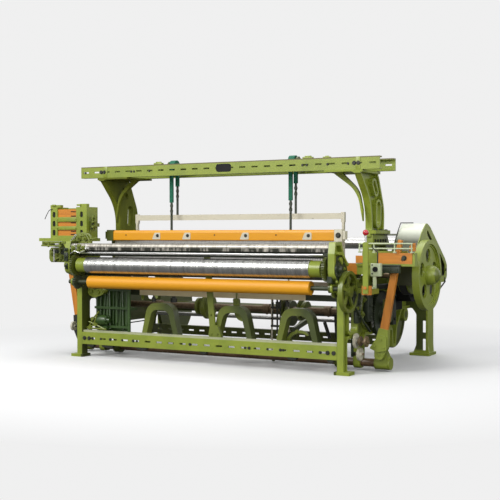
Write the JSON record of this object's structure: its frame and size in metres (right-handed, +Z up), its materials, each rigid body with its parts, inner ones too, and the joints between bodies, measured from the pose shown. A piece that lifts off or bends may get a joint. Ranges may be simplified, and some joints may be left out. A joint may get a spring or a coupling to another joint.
{
  "type": "power loom",
  "caption": "Shuttle-changing power loom: cast side walls, bowed legs under slotted top beams, sley, crankshaft with belt-driven flywheel, rollers and warp beam.",
  "frame": {"origin": "on the floor, midway between the four foot bolt holes", "axes": "+X along the loom to the weaver's right, +Y to the warp side at the back, +Z up"},
  "size_m": [2.8089, 1.4877, 1.3657],
  "materials": {
    "green_casting": "yellow-green gloss enamel on cast iron",
    "dark_iron": "oiled dark iron",
    "steel": "turned bright steel",
    "rough_roller": "rough perforated steel strip",
    "varnished_wood": "orange-yellow lacquer",
    "stick_wood": "deep orange lacquer",
    "cream": "cream enamel",
    "strap": "teal-green webbing",
    "black_paint": "satin black",
    "belt_rubber": "matt",
    "reed_steel": "fine steel dents"
  },
  "bodies": {
    "frame": {"right_side_wall": "green_casting", "left_side_wall": "green_casting", "front_rail": "green_casting", "rear_rail": "green_casting", "front_stay": "cream", "bow_legs": "green_casting", "front_top_beam": "green_casting", "rear_top_beam": "green_casting", "breast_beam": "cream", "guide_rod": "steel", "back_rest_brackets": "green_casting", "harness_hangers": "green_casting", "treadle_rod": "steel", "magazine": "green_casting", "stored_shuttles": "stick_wood", "belt_guard": "green_casting", "motor": "black_paint", "drive_belt": "belt_rubber", "frame_bolts": "dark_iron", "handle_bracket": "green_casting", "arch_stands": "green_casting"},
    "crank": {"crankshaft": "steel", "flywheel": "green_casting", "crank_gear": "dark_iron"},
    "arms": {"crank_arms": "dark_iron"},
    "bottom": {"bottom_shaft": "steel", "bottom_gear": "dark_iron", "picking_cams": "dark_iron", "shedding_cams": "dark_iron"},
    "motor_drive": {"motor_pulley": "dark_iron"},
    "sley": {"rocker_shaft": "green_casting", "swords": "dark_iron", "sley_beam": "stick_wood", "sley_tie": "stick_wood", "reed": "reed_steel", "reed_cap": "varnished_wood", "cap_brackets": "cream", "shuttle_boxes": "green_casting", "box_fronts": "stick_wood"},
    "right_stick": {"right_picking_stick": "stick_wood", "right_stick_shoe": "dark_iron"},
    "left_stick": {"left_picking_stick": "stick_wood", "left_stick_shoe": "dark_iron"},
    "right_pick": {"right_picker": "stick_wood"},
    "left_pick": {"left_picker": "stick_wood"},
    "front_healds": {"front_heald_frame": "cream", "front_straps": "strap"},
    "rear_healds": {"rear_heald_frame": "cream", "rear_straps": "strap"},
    "harness": {"harness_shaft": "dark_iron"},
    "front_lever": {"front_treadle": "green_casting"},
    "rear_lever": {"rear_treadle": "green_casting"},
    "take_up": {"take_up_roller": "rough_roller", "take_up_gears": "dark_iron"},
    "idler": {"take_up_idler": "dark_iron"},
    "hand": {"hand_wheel": "green_casting"},
    "cloth": {"cloth_roller": "varnished_wood"},
    "warp": {"warp_beam": "green_casting"},
    "rest": {"back_rest": "steel"},
    "handle": {"starting_handle": "green_casting"}
  },
  "joints": [
    {"name": "crank_spin", "type": "hinge", "parent": "frame", "child": "crank", "pos_m": [0, -0.097, 0.59], "axis": [1, 0, 0], "continuous": true},
    {"name": "crank_arm_turn", "type": "hinge", "parent": "crank", "child": "arms", "pos_m": [0, -0.097, 0.645], "axis": [1, 0, 0], "continuous": true},
    {"name": "bottom_shaft_spin", "type": "hinge", "parent": "frame", "child": "bottom", "pos_m": [0, -0.097, 0.338], "axis": [1, 0, 0], "continuous": true},
    {"name": "motor_spin", "type": "hinge", "parent": "frame", "child": "motor_drive", "pos_m": [1.2, 0.263, 0.5], "axis": [1, 0, 0], "continuous": true},
    {"name": "sley_rock", "type": "hinge", "parent": "frame", "child": "sley", "pos_m": [0, -0.347, 0.05], "axis": [1, 0, 0], "range_deg": [-7, 7]},
    {"name": "right_pick_swing", "type": "hinge", "parent": "sley", "child": "right_stick", "pos_m": [1.146, -0.408, 0.112], "axis": [0, 1, 0], "range_deg": [-20, 0]},
    {"name": "left_pick_swing", "type": "hinge", "parent": "sley", "child": "left_stick", "pos_m": [-1.146, -0.408, 0.112], "axis": [0, 1, 0], "range_deg": [0, 20]},
    {"name": "right_picker_run", "type": "slide", "parent": "sley", "child": "right_pick", "axis": [1, 0, 0], "range_m": [-0.208, 0]},
    {"name": "left_picker_run", "type": "slide", "parent": "sley", "child": "left_pick", "axis": [1, 0, 0], "range_m": [0, 0.208]},
    {"name": "rear_heald_lift", "type": "slide", "parent": "frame", "child": "rear_healds", "axis": [0, 0, 1], "range_m": [-0.125, 0], "deforming": ["rear_straps"]},
    {"name": "front_heald_lift", "type": "slide", "parent": "frame", "child": "front_healds", "axis": [0, 0, 1], "range_m": [0, 0.125], "deforming": ["front_straps"]},
    {"name": "harness_turn", "type": "hinge", "parent": "frame", "child": "harness", "pos_m": [0, -0.226, 1.33], "axis": [1, 0, 0], "range_deg": [0, 200.6]},
    {"name": "rear_treadle_swing", "type": "hinge", "parent": "frame", "child": "rear_lever", "pos_m": [0, 0.183, 0.252], "axis": [1, 0, 0], "range_deg": [0, 18.5]},
    {"name": "front_treadle_swing", "type": "hinge", "parent": "frame", "child": "front_lever", "pos_m": [0, 0.183, 0.252], "axis": [1, 0, 0], "range_deg": [-14.5, 0]},
    {"name": "take_up_spin", "type": "hinge", "parent": "frame", "child": "take_up", "pos_m": [0, -0.727, 0.638], "axis": [1, 0, 0], "continuous": true},
    {"name": "take_up_idler_spin", "type": "hinge", "parent": "frame", "child": "idler", "pos_m": [0, -0.66149, 0.55594], "axis": [1, 0, 0], "continuous": true},
    {"name": "hand_wheel_spin", "type": "hinge", "parent": "frame", "child": "hand", "pos_m": [0, -0.61745, 0.50077], "axis": [1, 0, 0], "continuous": true},
    {"name": "cloth_roller_spin", "type": "hinge", "parent": "frame", "child": "cloth", "pos_m": [0, -0.71698, 0.52344], "axis": [1, 0, 0], "continuous": true},
    {"name": "warp_beam_spin", "type": "hinge", "parent": "frame", "child": "warp", "pos_m": [0, 0.448, 0.292], "axis": [1, 0, 0], "continuous": true},
    {"name": "back_rest_spin", "type": "hinge", "parent": "frame", "child": "rest", "pos_m": [0, 0.538, 0.785], "axis": [1, 0, 0], "continuous": true},
    {"name": "starting_handle_swing", "type": "hinge", "parent": "frame", "child": "handle", "pos_m": [1.153, -0.657, 0.53], "axis": [0, 1, 0], "range_deg": [0, 14]}
  ],
  "couplings": [
    {"joint": "crank_arm_turn", "follows": "crank_spin", "ratio": -1},
    {"joint": "bottom_shaft_spin", "follows": "crank_spin", "ratio": -0.5},
    {"joint": "motor_spin", "follows": "crank_spin", "ratio": 2.7273},
    {"joint": "right_picker_run", "follows": "right_pick_swing", "m_per_rad": 0.596},
    {"joint": "left_picker_run", "follows": "left_pick_swing", "m_per_rad": 0.596},
    {"joint": "front_heald_lift", "follows": "rear_heald_lift", "ratio": -1},
    {"joint": "harness_turn", "follows": "rear_heald_lift", "rad_per_m": -28.011},
    {"joint": "rear_treadle_swing", "follows": "rear_heald_lift", "rad_per_m": -2.5},
    {"joint": "front_treadle_swing", "follows": "rear_heald_lift", "rad_per_m": 1.95},
    {"joint": "take_up_idler_spin", "follows": "take_up_spin", "ratio": -2},
    {"joint": "hand_wheel_spin", "follows": "take_up_spin", "ratio": 2},
    {"joint": "cloth_roller_spin", "follows": "take_up_spin", "ratio": -1.5556}
  ]
}
